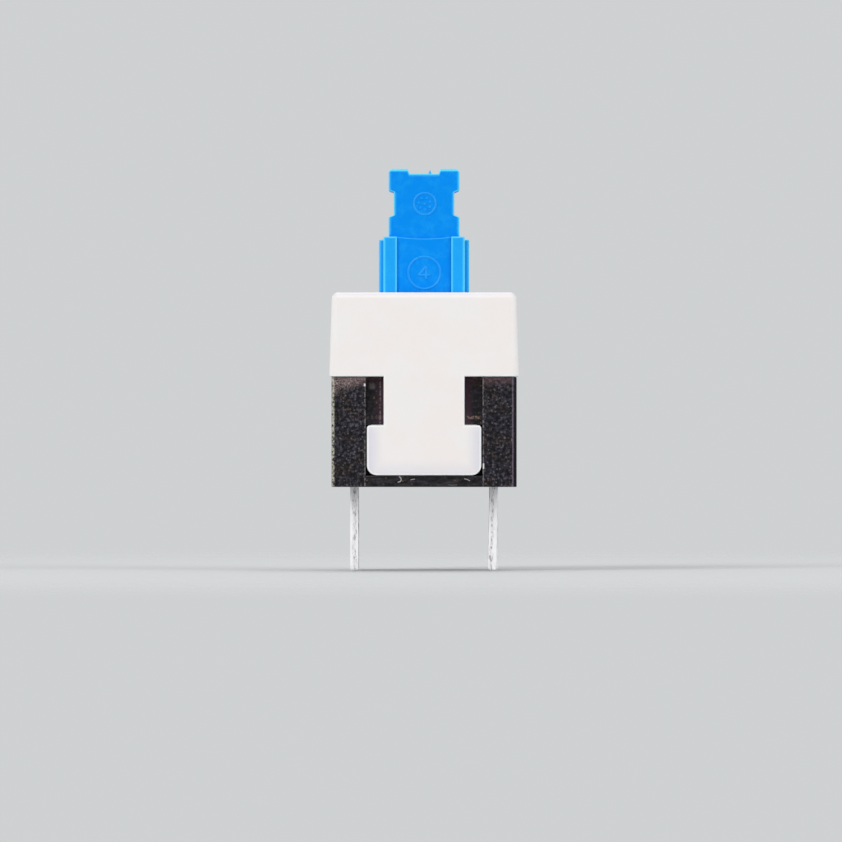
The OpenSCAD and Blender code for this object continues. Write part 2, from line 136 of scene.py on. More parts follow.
def colour(name, description, default):
    return FloatVectorProperty(
        name=name, description=description, default=default, size=3, min=0, max=1, subtype="COLOR"
    )


class CapSettings(bpy.types.PropertyGroup):
    edge: length("Edge radius", "Rounding of the cap's outer edges", 0.07)
    white: colour("White", "Colour of the moulding", (0.84, 0.82, 0.81))
    # Painted shade on the feet's sides and toes and round the top edges
    painted_shade: colour("Cool white", "Colour where the moulding is thin", (0.70, 0.69, 0.75))
    # Painted highlight on the rounded edges
    painted_highlight: colour("Rim", "Colour of the lit edges", (0.90, 0.90, 0.91))
    roughness: factor("Roughness", "Roughness of the satin gloss", 0.48)


class BaseSettings(bpy.types.PropertyGroup):
    edge: length("Edge radius", "Rounding of the base's edges", 0.03)
    grain: length("Grain", "Size of the spark-eroded grain", 0.15)
    black: colour("Black", "Colour of the moulding", (0.006, 0.006, 0.008))
    grey: colour("Grey", "Colour of the grain's tops", (0.098, 0.088, 0.118))
    tan: colour("Tan", "Colour of the warm flecks", (0.17, 0.115, 0.075))
    # Rubbed pale corner, partly painted highlight from the left
    worn_and_painted_highlight: colour("Worn corner", "Colour of the rubbed front corner", (0.46, 0.45, 0.38))


class PlungerSettings(bpy.types.PropertyGroup):
    edge: length("Edge radius", "Rounding of the plunger's edges", 0.04)
    blue: colour("Blue", "Colour of the moulding", (0.0, 0.265, 0.86))
    # A random mottle, and painted light on the pilasters
    mottle_and_painted_light: colour("Lit blue", "Colour where light passes through the edges", (0.03, 0.50, 0.93))
    # Painted highlight along the edges and outlines
    painted_highlight: colour("Rim", "Colour of the thin edges", (0.10, 0.66, 0.98))
    roughness: factor("Roughness", "Roughness of the satin gloss", 0.36)
    mark_height: length("Mark height", "How far the mould marks stand out", 0.035)


class TerminalSettings(bpy.types.PropertyGroup):
    edge: length("Edge radius", "Rounding of the sheared edges", 0.035)
    ripple: length("Ripple", "Unevenness of the sheared faces", 0.018)
    silver: colour("Silver", "Colour of the plating", (0.97, 0.97, 0.98))
    fleck: colour("Fleck", "Colour of the torn grain in the sheared faces", (0.26, 0.24, 0.29))
    line: factor("Line", "How far left the right pins' painted highlight line lies, in half widths", 0.3)
    roughness: factor("Roughness", "Roughness of the plating", 0.42)


class InsideSettings(bpy.types.PropertyGroup):
    edge: length("Edge radius", "Rounding of the contact springs' edges", 0.02)
    turns: IntProperty(
        name="Turns", description="Turns of the return spring, with the closed ones", default=9
    )
    wire: length("Wire", "Diameter of the return spring's wire", 0.28)
    pin_edge: length("Pin edge radius", "Rounding of the lock pin's cut ends and bends", 0.04)
    bronze: colour("Bronze", "Colour of the contact springs", (0.80, 0.66, 0.42))
    spring: colour("Spring steel", "Colour of the return spring", (0.58, 0.58, 0.60))
    pin: colour("Pin steel", "Colour of the lock pin", (0.66, 0.66, 0.68))


class StageSettings(bpy.types.PropertyGroup):
    backdrop: colour("Backdrop", "Colour of the floor and backdrop", (0.62, 0.635, 0.645))
    floor_radius: length("Floor radius", "Radius at which the floor has faded out", 90)
    ambient: FloatProperty(
        name="Ambient", description="Strength of the light from all round", default=0.47, min=0
    )
    distance: length("Camera distance", "Distance from the camera to the switch", 500)
    height: length("Camera height", "Height of the camera over the seating plane", 2.78)
    lens: FloatProperty(
        name="Lens", description="Focal length of the camera in millimetres", default=503.7
    )


SETTINGS = {
    "switch_cap": CapSettings,
    "switch_base": BaseSettings,
    "switch_plunger": PlungerSettings,
    "switch_terminal": TerminalSettings,
    "switch_inside": InsideSettings,
    "switch_stage": StageSettings,
}


# ---- Meshes ----


def new_skin():
    """An empty bmesh with the layer that holds each face's share of painted highlight, from 0 to 1.
    """
    bm = bmesh.new()
    bm.faces.layers.float.new("painted_highlight")
    return bm


def paint_highlight(bm, faces, share):
    """Marks faces with their share of painted highlight, so that a finish can find them."""
    layer = bm.faces.layers.float["painted_highlight"]
    for face in faces:
        face[layer] = share


def as_mesh(bm, name):
    """A mesh made from a bmesh, which is freed."""
    mesh = bpy.data.meshes.new(name)
    bm.to_mesh(mesh)
    bm.free()
    return mesh


def add_object(name, data):
    made = bpy.data.objects.new(name, data)
    bpy.context.scene.collection.objects.link(made)
    return made


def cad_solid(node):
    """A CAD node's solid as a bmesh, welded, with its flat faces whole again."""
    bm = bmesh.new()
    bm.from_mesh(frame["nodes"][node].data)
    bmesh.ops.remove_doubles(bm, verts=bm.verts, dist=WELD)
    bmesh.ops.dissolve_limit(bm, angle_limit=FLAT, verts=bm.verts, edges=bm.edges)
    bm.faces.layers.float.new("painted_highlight")
    return bm


def join_corners(bm):
    """Splits the edges that run past a corner they touch, and welds the two."""
    for vert in list(bm.verts):
        for edge in list(bm.edges):
            if vert in edge.verts:
                continue
            start, end = (corner.co for corner in edge.verts)
            nearest, share = intersect_point_line(vert.co, start, end)
            if (nearest - vert.co).length < WELD and 0 < share < 1:
                bmesh.utils.edge_split(edge, edge.verts[0], share)[1].co = vert.co
    bmesh.ops.remove_doubles(bm, verts=bm.verts, dist=WELD)


def creases(bm, passes=lambda point: True):
    """The sharp outer edges whose two ends pass a test."""
    return [
        e for e in bm.edges
        if e.is_convex and e.calc_face_angle(0) > CREASE and all(passes(v.co) for v in e.verts)
    ]


def round_edges(bm, edges, radius, painted_highlight=1.0):
    """Rounds edges, and marks the new faces with a share of painted highlight."""
    made = bmesh.ops.bevel(
        bm, geom=edges, offset=radius, offset_type="OFFSET", segments=2,
        profile=0.5, affect="EDGES", clamp_overlap=False,
    )
    paint_highlight(bm, made["faces"], painted_highlight)


def shade(bm):
    """Smooth shading, with the sharp edges kept."""
    for edge in bm.edges:
        edge.smooth = edge.calc_face_angle(0) < CREASE
    for face in bm.faces:
        face.smooth = True


def new_piece(bm, name, node, material):
    """A piece from a bmesh, on the body of the CAD node that it stands for."""
    shade(bm)
    piece = add_object(name, as_mesh(bm, name))
    piece.data.materials.append(material)
    normals = piece.modifiers.new("Even normals", "WEIGHTED_NORMAL")
    normals.keep_sharp = True
    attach(piece, frame["nodes"][node]["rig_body"])
    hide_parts(node)
    return piece


def ring(centre, out, over, radius, sides):
    """Points round a centre, from the out direction towards the over direction."""
    turns = [math.tau * side / sides for side in range(sides)]
    return [centre + radius * (out * math.cos(turn) + over * math.sin(turn)) for turn in turns]


def tube(rings, closed=False):
    """A skin over rings of points, closed by its two ends or by joining them."""
    bm = new_skin()
    loops = [[bm.verts.new(point) for point in points] for points in rings]
    for loop, after in zip(loops, loops[1:] + loops[:1] if closed else loops[1:]):
        for i in range(len(loop)):
            j = (i + 1) % len(loop)
            bm.faces.new((loop[i], loop[j], after[j], after[i]))
    if not closed:
        bm.faces.new(loops[0])
        bm.faces.new(reversed(loops[-1]))
    bmesh.ops.recalc_face_normals(bm, faces=bm.faces)
    return bm


def wound_wire(low, high, wire, turns):
    """A coil of wire that fills a box, with its first and last turns closed."""
    steps, sides = 40, 12
    radius = wire / 2
    reach = (high.x - low.x) / 2 - radius
    gap = 0.02 * MM
    closed = wire + gap
    climb = high.z - low.z - wire
    pitch = (climb - 2 * closed) / (turns - 2)

    def rise(turn):
        if turn < 1:
            return turn * closed
        if turn > turns - 1:
            return climb - (turns - turn) * closed
        return closed + (turn - 1) * pitch

    rings = []
    for i in range(turns * steps + 1):
        turn = i / steps
        out = Vector((math.cos(math.tau * turn), math.sin(math.tau * turn), 0))
        centre = out * reach + Vector((0, 0, low.z + radius + rise(turn)))
        rings.append(ring(centre, out, UP, radius, sides))
    return tube(rings)


def shear(bm, foot, ripple, line):
    """Makes a pin's faces uneven, and marks how far across it each corner lies.

    The mark is in half widths from the pin's middle line, moved by the line's offset.
    """
    end, longest, wave = 0.3 * MM, 0.3 * MM, 0.28 * MM
    tip = [v.co.x for v in bm.verts if v.co.z < foot + end]
    top = [v.co.x for v in bm.verts if -end < v.co.z < 0.1 * MM] or tip
    tip_x, top_x = ((min(places) + max(places)) / 2 for places in (tip, top))
    half = (max(tip) - min(tip)) / 2
    for _ in range(4):
        long_edges = [e for e in bm.edges if e.calc_length() > longest]
        bmesh.ops.subdivide_edges(bm, edges=long_edges, cuts=1)
    layer = bm.verts.layers.float.new("across")
    for vert in bm.verts:
        share = min(max(vert.co.z / foot, 0), 1)
        vert[layer] = (vert.co.x - top_x - (tip_x - top_x) * share) / half + line
        if foot + TOUCH < vert.co.z < -0.1 * MM:
            vert.co.x += noise.noise(vert.co / wave) * ripple


# ---- Mould marks and burrs ----


def bar(points, radius, light, closed=False):
    """A round bar along points that lie in an upright plane facing -Y."""
    rings = []
    for i, point in enumerate(points):
        before = points[i - 1] if closed or i else point
        after = points[(i + 1) % len(points)] if closed or i + 1 < len(points) else point
        out = (after - before).normalized().cross(BACK)
        rings.append(ring(point, out, BACK, radius, sides=8))
    bm = tube(rings, closed)
    paint_highlight(bm, bm.faces, light)
    return bm


def circle_points(centre, radius, steps=40, turn=math.tau, start=0.0):
    """Points round a circle, or an arc of it, in an upright plane facing -Y."""
    last = steps if turn == math.tau else steps - 1
    angles = [start + turn * i / last for i in range(steps)]
    return [centre + radius * Vector((math.cos(angle), 0, math.sin(angle))) for angle in angles]


def cone(place, foot, tip, depth, light):
    """A blunt cone between two radii, along the Z of its place."""
    bm = new_skin()
    bmesh.ops.create_cone(
        bm, cap_ends=True, segments=12, radius1=foot, radius2=tip, depth=depth, matrix=place
    )
    paint_highlight(bm, bm.faces, light)
    return bm


def block(middle, half):
    """A plain box about its middle, both in millimetres."""
    low, high = (middle - half) * MM, (middle + half) * MM
    bm = new_skin()
    place = Matrix.Translation((low + high) / 2) @ Matrix.Diagonal((*(high - low), 1))
    bmesh.ops.create_cube(bm, size=1, matrix=place)
    return bm


def raise_marks(piece, marks):
    """Joins small solids to a piece, so that it stays one closed skin."""
    gathered = new_skin()
    for mark in marks:
        mesh = as_mesh(mark, "mark")
        gathered.from_mesh(mesh)
        bpy.data.meshes.remove(mesh)
    tool = add_object("marks", as_mesh(gathered, "marks"))
    union = piece.modifiers.new("Marks", "BOOLEAN")
    union.operation = "UNION"
    union.solver = "EXACT"
    union.use_self = True
    union.object = tool
    # The even normals stay off while the union is read, and come last again after it
    normals = piece.modifiers["Even normals"]
    normals.show_viewport = False
    bpy.context.view_layer.update()
    joined = piece.evaluated_get(bpy.context.evaluated_depsgraph_get())
    made = bpy.data.meshes.new_from_object(joined)
    normals.show_viewport = True
    piece.modifiers.remove(union)
    skin = bmesh.new()
    skin.from_mesh(made)
    shade(skin)
    skin.to_mesh(made)
    skin.free()
    plain = piece.data
    made.name = plain.name + "_marked"
    piece.data = made
    for mesh in (plain, tool.data):
        bpy.data.meshes.remove(mesh)


# ---- Finishes ----


class Finish:
    """A material whose colour is laid on in coats, each by a share from 0 to 1."""

    def __init__(self, name, colour=None):
        self.material = bpy.data.materials.new(name)
        self.material.use_nodes = True
        self.tree = self.material.node_tree
        self.tree.nodes.clear()
        self.shader = self.tree.nodes.new("ShaderNodeBsdfPrincipled")
        self.output = self.tree.nodes.new("ShaderNodeOutputMaterial")
        self.tree.links.new(self.shader.outputs["BSDF"], self.output.inputs["Surface"])
        self.place = self.tree.nodes.new("ShaderNodeTexCoord").outputs["Object"]
        self.axes = self.node("SeparateXYZ", {"Vector": self.place})
        self.colour = tuple(colour) if colour else None

    def put(self, socket, value):
        """Links a socket, or sets it where the value is a number or a colour."""
        if isinstance(value, bpy.types.NodeSocket):
            self.tree.links.new(value, socket)
        elif isinstance(value, (tuple, list)) and socket.type == "RGBA":
            socket.default_value = (*value, 1)
        else:
            socket.default_value = value

    def node(self, kind, inputs, **settings):
        """A new node, with its settings set and its inputs linked or set."""
        made = self.tree.nodes.new("ShaderNode" + kind)
        for name, value in settings.items():
            setattr(made, name, value)
        for name, value in inputs.items():
            self.put(made.inputs[name], value)
        return made

    def set(self, **inputs):
        """Sets the shader's own sockets, with underscores for the spaces in their names."""
        for name, value in inputs.items():
            self.put(self.shader.inputs[name.replace("_", " ")], value)

    def axis(self, name):
        """The point's X, Y or Z."""
        return self.axes.outputs[name]

    def along(self, direction, point):
        """How far the surface lies from a point, measured along a direction."""
        made = self.node("VectorMath", {}, operation="DOT_PRODUCT")
        self.put(made.inputs[0], self.place)
        made.inputs[1].default_value = direction
        offset = Vector(direction).dot(Vector(point))
        return self.maths("SUBTRACT", made.outputs["Value"], offset)

    def drawn(self, *scale):
        """The place with an axis scaled, so that a pattern is drawn out along it."""
        return self.node("Mapping", {"Vector": self.place, "Scale": scale}).outputs["Vector"]

    def attribute(self, name):
        """A number that the mesh carries at each point."""
        return self.node("Attribute", {}, attribute_name=name).outputs["Fac"]

    def noise(self, size, detail=3, roughness=0.6, place=None):
        """A cloudy pattern about 0.5, with clouds of a given size."""
        inputs = {"Scale": 1 / size, "Detail": detail, "Roughness": roughness}
        inputs["Vector"] = place or self.place
        return self.node("TexNoise", inputs).outputs["Fac"]

    def cells(self, size):
        """Scattered cells: dots that fade out from 1 at their middles, and a dice for each."""
        cells = self.node("TexVoronoi", {"Vector": self.place, "Scale": 1 / size}, feature="F1")
        dice = self.node("SeparateColor", {"Color": cells.outputs["Color"]})
        return self.ramp(cells.outputs["Distance"], 0.60, 0.10), dice.outputs

    def maths(self, operation, a, b=0.0):
        """The result of an operation on one or two numbers."""
        made = self.node("Math", {}, operation=operation)
        self.put(made.inputs[0], a)
        self.put(made.inputs[1], b)
        return made.outputs[0]

    def ramp(self, value, low, high, start=0.0, end=1.0):
        """The value's share of the way from low to high, eased, as a number from start to end."""
        inputs = {"Value": value, "From Min": low, "From Max": high, "To Min": start, "To Max": end}
        return self.node("MapRange", inputs, interpolation_type="SMOOTHSTEP").outputs["Result"]

    def span(self, value, low, high, start=0.0, end=1.0):
        """A ramp whose low and high are in millimetres."""
        return self.ramp(value, low * MM, high * MM, start, end)

    def near(self, value, centre, half, soft):
        """A share of 1 within half of the centre, which falls to 0 over the soft width beyond."""
        away = self.maths("ABSOLUTE", self.maths("SUBTRACT", value, centre))
        return self.ramp(away, half + soft, half)

    def band(self, value, centre, half, soft):
        """The share near a centre, in millimetres."""
        return self.near(value, centre * MM, half * MM, soft * MM)

    def spot(self, x, z, half_x, half_z, soft):
        """A share of 1 in a small upright box, seen from the front, in millimetres."""
        return self.both(
            self.band(self.axis("X"), x, half_x, soft),
            self.band(self.axis("Z"), z, half_z, soft),
        )

    def turned(self, flat, full):
        """A share that grows as the surface turns away from the six main directions."""
        normal = self.node("TexCoord", {}).outputs["Normal"]
        axes = self.node("SeparateXYZ", {"Vector": normal})
        parts = (self.maths("ABSOLUTE", axes.outputs[name]) for name in "XYZ")
        return self.ramp(self.either(0.0, *parts), flat, full)

    def both(self, *shares):
        """The product of several shares."""
        total = shares[0]
        for share in shares[1:]:
            total = self.maths("MULTIPLY", total, share)
        return total

    def either(self, *shares):
        """The largest of several shares."""
        largest = shares[0]
        for share in shares[1:]:
            largest = self.maths("MAXIMUM", largest, share)
        return largest

    def blend(self, share, first, second):
        """A colour between two."""
        made = self.node("Mix", {}, data_type="RGBA")
        socket = {s.identifier: s for s in made.inputs}
        self.put(socket["Factor_Float"], share)
        self.put(socket["A_Color"], first)
        self.put(socket["B_Color"], second)
        return next(s for s in made.outputs if s.identifier == "Result_Color")

    def lay(self, colour, *shares):
        """Lays a coat of a colour over the ones before, by the product of the shares."""
        self.colour = self.blend(self.both(*shares), self.colour, colour)

    def uneven(self, pattern, middle, less, more):
        """A number that a pattern takes from less than the middle to more than it."""
        return self.ramp(pattern, 0.3, 0.7, middle - less, middle + more)

    def bump(self, height, depth, strength=1.0):
        """The surface's direction, tilted as if a pattern were raised by a depth."""
        inputs = {"Height": height, "Distance": depth, "Strength": strength}
        return self.node("Bump", inputs).outputs["Normal"]


def white_plastic(settings):
    """Satin white nylon that lets a little light through, with painted shade on the feet's sides
    and toes and round the top, and painted highlights on the other rounded edges.
    """
    finish = Finish("white_plastic", settings.white)
    red, green, blue = settings.white
    warm, painted_shade = (red * 1.01, green * 0.98, blue * 0.975), tuple(settings.painted_shade)
    z = finish.axis("Z")
    finish.lay(warm, finish.ramp(finish.noise(1.6 * MM, detail=2), 0.35, 0.65))
    # The feet get painted shade towards their sides and toes
    foot_half = 2.41 * MM
    from_side = finish.maths("SUBTRACT", foot_half, finish.maths("ABSOLUTE", finish.axis("X")))
    near_side = finish.span(from_side, 0.75, 0)
    near_toe = finish.span(z, 1.25, 0.5, 0, 0.6)
    finish.lay(painted_shade, finish.span(z, 2.9, 2.2), finish.either(near_side, near_toe))
    # The rounded edges get painted highlights, except round the top, where they get painted shade
    turned = finish.turned(0.95, 0.75)
    at_top = finish.span(z, 7.95, 8.10)
    below_top = finish.maths("SUBTRACT", 1.0, at_top)
    finish.lay(painted_shade, turned, at_top, 0.7)
    light = finish.either(finish.attribute("painted_highlight"), finish.both(turned, 0.5))
    finish.lay(tuple(settings.painted_highlight), light, below_top)
    finish.set(
        Base_Color=finish.colour,
        Roughness=finish.uneven(finish.noise(0.5 * MM), settings.roughness, 0.05, 0.06),
        IOR=1.5,
        Specular_IOR_Level=0.12,
        Subsurface_Weight=0.15,
        Subsurface_Radius=(1.0, 0.85, 0.8),
        Subsurface_Scale=0.25 * MM,
        Normal=finish.bump(finish.noise(0.12 * MM, detail=4), 0.002 * MM, 0.6),
    )
    return finish.material


# The colours of the base's coats that no setting holds
BASE_TONES = {
    "warm grey": (0.105, 0.080, 0.074),
    # Painted highlight streaks along the sill
    "painted sill streaks": (0.065, 0.055, 0.065),
    "glint": (0.15, 0.14, 0.17),
    # Painted bounce light from the cap, just under it
    "painted bounce light under the cap": (0.12, 0.070, 0.075),
    "dust": (0.40, 0.31, 0.29),
    "brown": (0.055, 0.026, 0.038),
    # Painted highlight on the edge at the foot of the right ramp
    "painted ramp foot highlight": (0.30, 0.21, 0.16),
    # Painted highlight lines along edges
    "highlight_dashes": (0.17, 0.16, 0.17),
    # Painted highlight line along the right upright corner
    "painted highlight line": (0.13, 0.11, 0.14),
    # Painted shade on the right upright corner
    "painted shade on the corner": (0.006, 0.005, 0.007),
    "dull smear": (0.15, 0.135, 0.14),
    # A bright speck, and a painted glint low by the right post
    "speck": (0.72, 0.70, 0.68),
    # Pale burrs, partly painted highlight, and a faint painted highlight on the rounded edges
    "pale burrs and painted highlight": (0.60, 0.58, 0.56),
}


class BaseFinish(Finish):
    """The black finish, with the places and patterns that its coats go by."""

    def __init__(self, settings):
        super().__init__("black_plastic", settings.black)
        self.x, self.y, self.z = (self.axis(name) for name in "XYZ")
        self.side = self.maths("ABSOLUTE", self.x)
        # The front of the base, its outer face, and the hooks and the sill between its posts
        self.front = self.span(self.y, -2.9, -3.1)
        self.face = self.span(self.y, -3.84, -3.88)
        between = self.both(self.front, self.span(self.side, 2.46, 2.44))
        self.hooks = self.both(between, self.span(self.z, 2.5, 2.6))
        self.sill = self.both(between, self.span(self.z, 0.6, 0.5))
        self.smooth = self.either(self.hooks, self.sill)
        self.grain = self.noise(settings.grain, detail=5, roughness=0.72)
        self.fine = self.noise(settings.grain * 0.3, detail=3, roughness=0.7)
        self.broad = self.noise(0.42 * MM)
        self.large = self.noise(0.7 * MM)
        # Dashes for the painted highlight lines
        self.highlight_dashes = self.ramp(self.noise(0.11 * MM), 0.42, 0.56)

    def lay_grain(self, settings):
        """Grain with warm and cold patches, painted highlight streaks along the sill, glints and
        warm flecks.
        """
        warm = self.ramp(self.large, 0.42, 0.58)
        self.lay(
            self.blend(warm, tuple(settings.grey), BASE_TONES["warm grey"]),
            self.ramp(self.grain, 0.43, 0.70),
            self.ramp(self.broad, 0.30, 0.70, 0.45, 1.0),
            self.ramp(self.smooth, 0, 1, 1.0, 0.35),
            self.span(self.x, -2.0, 2.6, 1.0, 0.85),
        )
        # Painted highlight streaks along the sill
        painted_streaks = self.noise(0.11 * MM, detail=4, place=self.drawn(0.22, 1, 1))
        self.lay(BASE_TONES["painted sill streaks"], self.sill, self.ramp(painted_streaks, 0.45, 0.68), 0.45)
        dots, dice = self.cells(0.10 * MM)
        on_rough = self.ramp(self.smooth, 0, 1, 0.5, 0.1)
        self.lay(BASE_TONES["glint"], dots, self.ramp(dice["Green"], 0.72, 0.95), on_rough)
        on_warm = self.ramp(self.large, 0.4, 0.6, 0.05, 0.6)
        self.lay(tuple(settings.tan), dots, self.ramp(dice["Red"], 0.88, 0.93), on_warm)

    def lay_dust(self):
        """Painted bounce light from the cap just under it, and dust in the left post's upper
        corner.
        """
        off_walls = self.span(self.side, 3.88, 3.84)
        under_cap = self.span(self.z, 4.15, 4.60)
        tops = self.ramp(self.grain, 0.30, 0.62, 0.2, 1.0)
        # Painted bounce light from the cap
        tint = BASE_TONES["painted bounce light under the cap"]
        self.lay(tint, self.front, off_walls, under_cap, tops, 0.75)
        into_corner = self.along((-0.35, 0, 0.94), (-2.6 * MM, 0, 4.12 * MM))
        self.lay(
            BASE_TONES["dust"],
            self.face,
            self.span(into_corner, 0, 0.6),
            self.span(self.x, -2.2, -2.7, 0.1, 1.0),
            self.ramp(self.fine, 0.42, 0.62),
            self.ramp(self.broad, 0.35, 0.65, 0.4, 1.0),
        )

    def lay_hooks(self):
        """Brown beside the cap's neck, with a dashed painted highlight along the foot of the right
        ramp.
        """
        self.lay(BASE_TONES["brown"], self.hooks, self.span(self.side, 2.15, 1.75), 0.7)
        # Painted highlight along the foot of the right ramp
        ramp_foot = self.band(self.z, 2.93, 0.04, 0.05)
        on_right = self.span(self.x, 0, 0.1, 0.1, 0.6)
        self.lay(BASE_TONES["painted ramp foot highlight"], self.hooks, self.highlight_dashes, ramp_foot, on_right)

    def lay_lines(self):
        """Faint dashed painted highlight lines down the posts' inner edges and on the left hook."""
        posts = self.both(self.face, self.highlight_dashes, self.band(self.side, 2.49, 0.02, 0.02))
        hook = self.both(self.hooks, self.highlight_dashes, self.band(self.x, -1.85, 0.015, 0.02))
        self.lay(BASE_TONES["highlight_dashes"], self.either(posts, hook), 0.8)

    def lay_corners(self, settings):
        """Upright corners: rubbed pale and pitted on the left, partly painted highlight, and on the
        right a thin painted highlight line and painted shade.
        """
        nearer = self.maths("MINIMUM", self.side, self.maths("ABSOLUTE", self.y))
        corner = self.span(nearer, 3.75, 3.82)
        pitted = self.ramp(self.noise(0.12 * MM, detail=4, roughness=0.7), 0.40, 0.56)
        on_left, on_right = self.span(self.x, 0, -0.1), self.span(self.x, 0, 0.1)
        more_in_front = self.span(self.y, 0, -0.1, 0.3, 1.0)
        # Rubbed and pitted, with painted highlight, on the left corner only
        self.lay(tuple(settings.worn_and_painted_highlight), corner, pitted, on_left, more_in_front)
        tops = self.ramp(self.grain, 0.3, 0.6, 0.3, 1.0)
        # Painted highlight line and painted shade on the right corner
        line = self.band(self.x, 3.735, 0.02, 0.02)
        self.lay(BASE_TONES["painted highlight line"], self.face, line, tops)
        self.lay(BASE_TONES["painted shade on the corner"], corner, on_right)

    def lay_specks(self):
        """A bright speck high on the left post with a dull smear by it, a painted glint low by the
        right post, and the pale burrs, partly painted highlight.
        """
        smear = self.spot(-2.20, 4.25, 0.05, 0.05, soft=0.14)
        self.lay(BASE_TONES["dull smear"], self.hooks, smear, 0.6)
        upper = self.spot(-2.50, 4.30, 0.012, 0.035, soft=0.045)
        # A painted glint low by the right post
        lower = self.spot(2.50, 0.88, 0.015, 0.10, soft=0.03)
        specks = [self.both(self.face, spot) for spot in (upper, lower)]
        self.lay(BASE_TONES["speck"], self.either(*specks))
        # Pale burrs and rounded edges, partly painted highlight
        self.lay(BASE_TONES["pale burrs and painted highlight"], self.attribute("painted_highlight"))


def black_plastic(settings):
    """Filled black polyester from a spark-eroded mould: rough and dusty, rubbed at its edges, with
    painted highlights and painted shade along them.
    """
    finish = BaseFinish(settings)
    finish.lay_grain(settings)
    finish.lay_dust()
    finish.lay_hooks()
    finish.lay_lines()
    finish.lay_corners(settings)
    finish.lay_specks()
    finish.set(
        Base_Color=finish.colour,
        Roughness=finish.ramp(finish.grain, 0.3, 0.7, 0.36, 0.62),
        Specular_IOR_Level=0.10,
        Normal=finish.bump(finish.grain, 0.03 * MM, 0.7),
    )
    return finish.material


def key_band(finish, side, deep):
    """The share of painted highlight along the outline of the key's front and back."""
    z = finish.axis("Z")
    half, notch_depth = 1.5 * MM, 0.22 * MM
    notch = finish.band(z, 11.98, 0.46, 0.10)
    key_side = finish.maths("SUBTRACT", half, finish.both(notch, notch_depth))
    key_top = finish.span(side, 0.64, 0.72, 13.24 * MM, 13.43 * MM)
    from_side = finish.maths("SUBTRACT", key_side, side)
    from_top = finish.maths("SUBTRACT", key_top, z)
    inward = finish.maths("MINIMUM", from_side, from_top)
    on_key = finish.both(finish.span(z, 10.6, 10.7), finish.span(deep, 1.38, 1.44))
    return finish.both(on_key, finish.span(inward, 0.14, 0.03), 0.45)


def blue_plastic(settings):
    """Satin blue acetal, mottled, with painted light on its pilasters, a painted shadow line and
    painted highlights along its edges.
    """
    finish = Finish("blue_plastic", settings.blue)
    z = finish.axis("Z")
    side, deep = (finish.maths("ABSOLUTE", finish.axis(name)) for name in "XY")
    mottle_and_painted_light = tuple(settings.mottle_and_painted_light)
    # A darker blue for the painted shadow line
    painted_shadow = tuple(0.68 * part for part in settings.blue)
    finish.lay(mottle_and_painted_light, finish.ramp(finish.noise(0.35 * MM), 0.42, 0.70), 0.16)
    # The pilasters get painted light over the panel, and the right one stands in a painted shadow
    # line
    block_part = finish.both(finish.span(z, 10.62, 10.58), finish.span(z, 7.3, 7.5))
    pilasters = finish.both(block_part, finish.span(side, 1.14, 1.20))
    finish.lay(mottle_and_painted_light, pilasters, 0.45)
    finish.lay(painted_shadow, block_part, finish.band(finish.axis("X"), 1.12, 0.01, 0.03), 0.4)
    # Painted highlights lie in a soft band along the outlines of the key, the pilasters and the
    # fins
    outline = finish.either(
        finish.band(side, 1.69, 0.02, 0.07),
        finish.band(side, 1.18, 0.01, 0.06),
        finish.band(z, 10.55, 0.01, 0.05),
    )
    pilaster_faces = finish.both(pilasters, finish.span(deep, 1.62, 1.68))
    pilaster_bands = finish.both(pilaster_faces, outline, 0.6)
    fin_bands = finish.both(block_part, finish.band(side, 1.88, 0.03, 0.05), 0.5)
    bands = finish.either(key_band(finish, side, deep), fin_bands, pilaster_bands)
    finish.lay(tuple(settings.painted_highlight), finish.either(bands, finish.attribute("painted_highlight")))
    finish.set(
        Base_Color=finish.colour,
        Roughness=finish.uneven(finish.noise(0.4 * MM), settings.roughness, 0.05, 0.08),
        IOR=1.48,
        Specular_IOR_Level=0.08,
        Subsurface_Weight=0.08,
        Subsurface_Radius=(0.2, 0.7, 1.0),
        Subsurface_Scale=0.25 * MM,
        Normal=finish.bump(finish.noise(0.22 * MM, detail=3), 0.006 * MM, 0.6),
    )
    return finish.material


def silver_plate(settings):
    """Thin silver over sheared brass: bright at the sides, torn and flecked along the middle."""
    finish = Finish("silver_plate", settings.silver)
    dull = (0.58, 0.50, 0.54)
    torn = finish.noise(0.07 * MM, detail=5, roughness=0.75, place=finish.drawn(1, 1, 1 / 2.5))
    flakes = finish.noise(0.09 * MM, place=finish.drawn(1, 1, 1 / 3.5))
    drift = finish.noise(0.4 * MM, place=finish.drawn(1, 1, 1 / 2))
    wander = finish.ramp(drift, 0.3, 0.7, -0.3, 0.3)
    across = finish.maths("ADD", finish.attribute("across"), wander)
    middle = finish.near(across, 0.0, 0.18, 0.42)
    finish.lay(dull, middle, finish.ramp(torn, 0.35, 0.62, 0.25, 1.0), 0.5)
    finish.lay(
        tuple(settings.fleck),
        finish.ramp(flakes, 0.47, 0.60),
        finish.ramp(torn, 0.38, 0.58),
        finish.ramp(middle, 0, 1, 0.12, 0.9),
    )
    finish.set(
        Base_Color=finish.colour,
        Metallic=0.25,
        Roughness=finish.uneven(torn, settings.roughness, 0.08, 0.2),
        Normal=finish.bump(torn, 0.01 * MM, 0.6),
    )
    return finish.material


